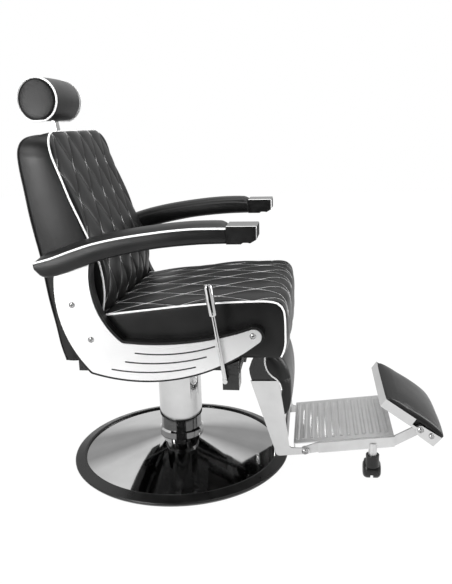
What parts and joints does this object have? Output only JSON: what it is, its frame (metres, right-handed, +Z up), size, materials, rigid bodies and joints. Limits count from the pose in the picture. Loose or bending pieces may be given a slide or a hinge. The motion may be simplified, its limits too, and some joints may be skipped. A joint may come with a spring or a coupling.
{
  "type": "hydraulic barber chair",
  "caption": "Reclining barber chair with a padded seat, back, arms and headrest, on a hydraulic column with a round base, and a folding legrest platform with a flip-over foot pad.",
  "frame": {"origin": "on the floor, under the middle of the column", "axes": "+X forwards, the way the sitter faces; +Y to the sitter's left; +Z up"},
  "size_m": [1.1839, 0.68, 1.164],
  "materials": {
    "black_leatherette": "satin, quilted with white piping",
    "polished_chrome": "mirror polished",
    "bright_steel": "bright, smooth",
    "satin_aluminium": "satin",
    "steel": "machined",
    "black_steel": "satin black paint",
    "black_board": "board covered in black leatherette",
    "plywood": "bare",
    "cast_iron": "painted casting",
    "rubber": "matte",
    "black_plastic": "moulded",
    "bearing_plastic": "moulded"
  },
  "bodies": {
    "base": {"edge_ring": "rubber", "base_plate": "cast_iron", "base_bolts": "steel", "base_dome": "polished_chrome", "pump_cylinder": "polished_chrome", "guide_bush": "bearing_plastic", "rod_seal": "rubber", "column_collar": "polished_chrome", "pump_block": "polished_chrome"},
    "pedal": {"pump_pedal": "polished_chrome", "pedal_pad": "rubber"},
    "plunger": {"pump_plunger": "steel"},
    "column": {"piston_rod": "steel", "piston_head": "steel", "column_sleeve": "polished_chrome", "thrust_ring": "bearing_plastic"},
    "seat": {"swivel_plate": "black_steel", "seat_frame": "black_steel", "seat_board": "plywood", "recline_brackets": "black_steel", "leg_hangers": "black_steel", "pivot_pins": "steel", "seat_cushion": "black_leatherette", "side_board_left": "black_board", "side_board_right": "black_board", "side_plate_left": "bright_steel", "side_plate_right": "bright_steel", "plate_screws": "steel", "arm_pad_left": "black_leatherette", "arm_pad_right": "black_leatherette", "arm_cap_left": "polished_chrome", "arm_cap_right": "polished_chrome", "lever_bracket": "black_steel", "lock_cylinder": "black_steel"},
    "lever": {"lever_shaft": "polished_chrome", "lever_grip": "polished_chrome"},
    "lock": {"lock_rod": "steel"},
    "back": {"back_frame": "black_steel", "back_shell": "black_leatherette", "back_cushion": "black_leatherette", "post_socket": "steel"},
    "headrest": {"head_post": "polished_chrome", "head_roll": "black_leatherette"},
    "link": {"link_rod": "black_steel"},
    "legrest": {"leg_brackets": "black_steel", "leg_plate_left": "polished_chrome", "leg_plate_right": "polished_chrome", "leg_tubes": "polished_chrome", "calf_pad": "black_leatherette", "foot_bolts": "steel"},
    "platform": {"platform_rail_left": "satin_aluminium", "platform_rail_right": "satin_aluminium", "tread_plate": "satin_aluminium", "pad_bolts": "steel"},
    "foot_pad": {"pad_tray": "polished_chrome", "pad_cushion": "black_leatherette"},
    "caster_left": {"caster_fork_left": "black_plastic"},
    "caster_right": {"caster_fork_right": "black_plastic"},
    "wheels_left": {"caster_wheels_left": "black_plastic"},
    "wheels_right": {"caster_wheels_right": "black_plastic"}
  },
  "joints": [
    {"name": "pedal_press", "type": "hinge", "parent": "base", "child": "pedal", "pos_m": [-0.01705, 0.08021, 0.118], "axis": [-0.9781, -0.2079, 0], "range_deg": [0, 10], "stiffness_Nm_per_rad": 60, "springref_deg": -6.88},
    {"name": "plunger_travel", "type": "slide", "parent": "base", "child": "plunger", "axis": [0, 0, -1], "range_m": [0, 0.0085]},
    {"name": "column_lift", "type": "slide", "parent": "base", "child": "column", "axis": [0, 0, 1], "range_m": [0, 0.16]},
    {"name": "seat_swivel", "type": "hinge", "parent": "column", "child": "seat", "pos_m": [0, 0, 0.345], "axis": [0, 0, 1], "continuous": true},
    {"name": "lever_release", "type": "hinge", "parent": "seat", "child": "lever", "pos_m": [0.188, -0.31, 0.372], "axis": [0, 1, 0], "range_deg": [0, 20], "stiffness_Nm_per_rad": 3, "springref_deg": -20.05},
    {"name": "back_recline", "type": "hinge", "parent": "seat", "child": "back", "pos_m": [-0.2, 0, 0.47], "axis": [0, -1, 0], "range_deg": [0, 45]},
    {"name": "lock_travel", "type": "slide", "parent": "seat", "child": "lock", "axis": [1, 0, 0], "range_m": [0, 0.086]},
    {"name": "link_swing", "type": "hinge", "parent": "back", "child": "link", "pos_m": [-0.2421, 0.12, 0.36837], "axis": [0, -1, 0], "range_deg": [-45, 0]},
    {"name": "legrest_raise", "type": "hinge", "parent": "seat", "child": "legrest", "pos_m": [0.3, 0, 0.401], "axis": [0, -1, 0], "range_deg": [0, 45]},
    {"name": "headrest_height", "type": "slide", "parent": "back", "child": "headrest", "axis": [-0.1478, 0, 0.989], "range_m": [0, 0.08]},
    {"name": "platform_fold", "type": "hinge", "parent": "legrest", "child": "platform", "pos_m": [0.395, 0, 0.095], "axis": [0, -1, 0], "range_deg": [0, 45]},
    {"name": "pad_flip", "type": "hinge", "parent": "platform", "child": "foot_pad", "pos_m": [0.72, 0, 0.173], "axis": [0, 1, 0], "range_deg": [0, 110]},
    {"name": "caster_swivel_left", "type": "hinge", "parent": "platform", "child": "caster_left", "pos_m": [0.589, 0.147, 0.08], "axis": [0, 0, 1], "continuous": true},
    {"name": "caster_swivel_right", "type": "hinge", "parent": "platform", "child": "caster_right", "pos_m": [0.589, -0.147, 0.08], "axis": [0, 0, 1], "continuous": true},
    {"name": "wheel_roll_left", "type": "hinge", "parent": "caster_left", "child": "wheels_left", "pos_m": [0.589, 0.128, 0.035], "axis": [1, 0, 0], "continuous": true},
    {"name": "wheel_roll_right", "type": "hinge", "parent": "caster_right", "child": "wheels_right", "pos_m": [0.589, -0.128, 0.035], "axis": [1, 0, 0], "continuous": true}
  ],
  "couplings": [
    {"joint": "plunger_travel", "follows": "pedal_press", "m_per_rad": 0.0475},
    {"joint": "lock_travel", "follows": "back_recline", "m_per_rad": 0.1072},
    {"joint": "link_swing", "follows": "back_recline", "ratio": -1},
    {"joint": "legrest_raise", "follows": "back_recline", "ratio": 1}
  ]
}
